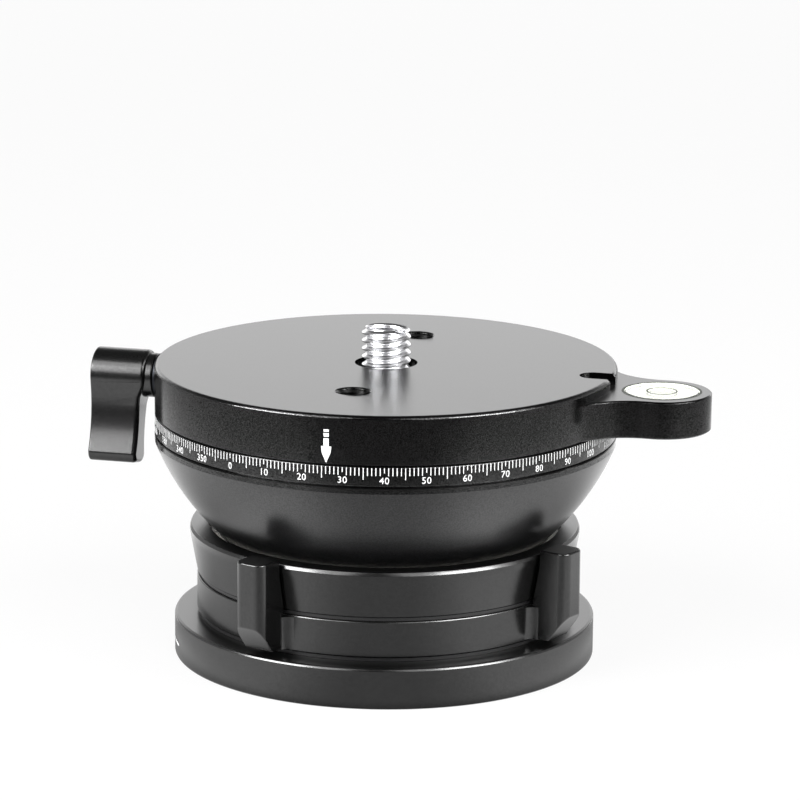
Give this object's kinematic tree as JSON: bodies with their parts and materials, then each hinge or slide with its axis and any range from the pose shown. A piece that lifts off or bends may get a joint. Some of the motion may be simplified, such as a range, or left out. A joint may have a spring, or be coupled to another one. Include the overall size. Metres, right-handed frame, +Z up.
{
  "type": "leveling base",
  "caption": "Tripod leveling base: a clamped half ball tilts in a seat collar with a tabbed lock ring, under a panning platform with degree dial, lock knob, spirit level and 3/8 inch screw.",
  "frame": {"origin": "centre of the base plate's underside, at the mouth of the tripod socket", "axes": "+Z up along the platform's axis, -Y the pointer side, +X the spirit level, -X the pan lock knob"},
  "size_m": [0.123, 0.09, 0.0648],
  "materials": {
    "black_anodised": "black anodised, satin",
    "blasted_anodised": "black anodised over fine bead blasting",
    "grey_anodised": "dark grey hard anodised, matte",
    "bare_aluminium": "turned",
    "steel": "zinc plated",
    "bright_steel": "stainless, bright",
    "black_steel": "black oxide",
    "acetal_black": "moulded",
    "acetal_white": "moulded",
    "brass": "turned",
    "vial_white": "moulded",
    "vial_liquid": "clear tinted spirit",
    "vial_bubble": "air",
    "vial_lens": "polished acrylic"
  },
  "bodies": {
    "base": {"base_plate": "black_anodised", "tripod_bush": "steel", "base_screws": "black_steel", "guide_pillars": "steel", "lower_slip_ring": "acetal_black", "upper_slip_ring": "acetal_black", "seat_collar": "black_anodised"},
    "ring": {"lock_ring": "black_anodised"},
    "clamp": {"clamp_plate": "bare_aluminium", "draw_bolt": "steel", "pressure_cap": "bare_aluminium", "cap_washer": "steel", "disc_spring": "black_steel", "clamp_nut": "steel"},
    "seat": {"seat_liner": "acetal_white"},
    "ball": {"half_ball": "grey_anodised", "scale_base": "blasted_anodised", "pan_hub": "bare_aluminium", "hub_screws": "black_steel"},
    "platform": {"platform": "blasted_anodised", "hub_retainer": "bare_aluminium", "retainer_screws": "black_steel", "lower_pan_washer": "acetal_white", "upper_pan_washer": "acetal_white", "camera_screw": "bright_steel", "vial_cup": "vial_white", "vial_liquid": "vial_liquid", "vial_bubble": "vial_bubble", "vial_lens": "vial_lens"},
    "brake": {"brake_shoe": "brass"},
    "knob": {"lock_knob": "black_anodised", "lock_stud": "steel", "knob_washer": "steel"}
  },
  "joints": [
    {"name": "lock_ring_turn", "type": "hinge", "parent": "base", "child": "ring", "pos_m": [0, 0, 0.01235], "axis": [0, 0, 1], "range_deg": [0, 60]},
    {"name": "clamp_lift", "type": "slide", "parent": "base", "child": "clamp", "axis": [0, 0, 1], "range_m": [0, 0.00025]},
    {"name": "ball_swivel", "type": "hinge", "parent": "base", "child": "seat", "pos_m": [0, 0, 0.02], "axis": [0, 0, 1], "continuous": true},
    {"name": "ball_tilt", "type": "hinge", "parent": "seat", "child": "ball", "pos_m": [0, 0, 0.06054], "axis": [1, 0, 0], "range_deg": [-10, 10]},
    {"name": "platform_pan", "type": "hinge", "parent": "ball", "child": "platform", "pos_m": [0, 0, 0.05], "axis": [0, 0, 1], "continuous": true},
    {"name": "brake_slide", "type": "slide", "parent": "platform", "child": "brake", "axis": [-1, 0, 0], "range_m": [0, 0.00042]},
    {"name": "knob_turn", "type": "hinge", "parent": "brake", "child": "knob", "pos_m": [-0.05, 0, 0.0521], "axis": [-1, 0, 0], "range_deg": [0, 150]}
  ],
  "couplings": [
    {"joint": "clamp_lift", "follows": "lock_ring_turn", "m_per_rad": 0.0002387},
    {"joint": "brake_slide", "follows": "knob_turn", "m_per_rad": 0.00015915}
  ]
}
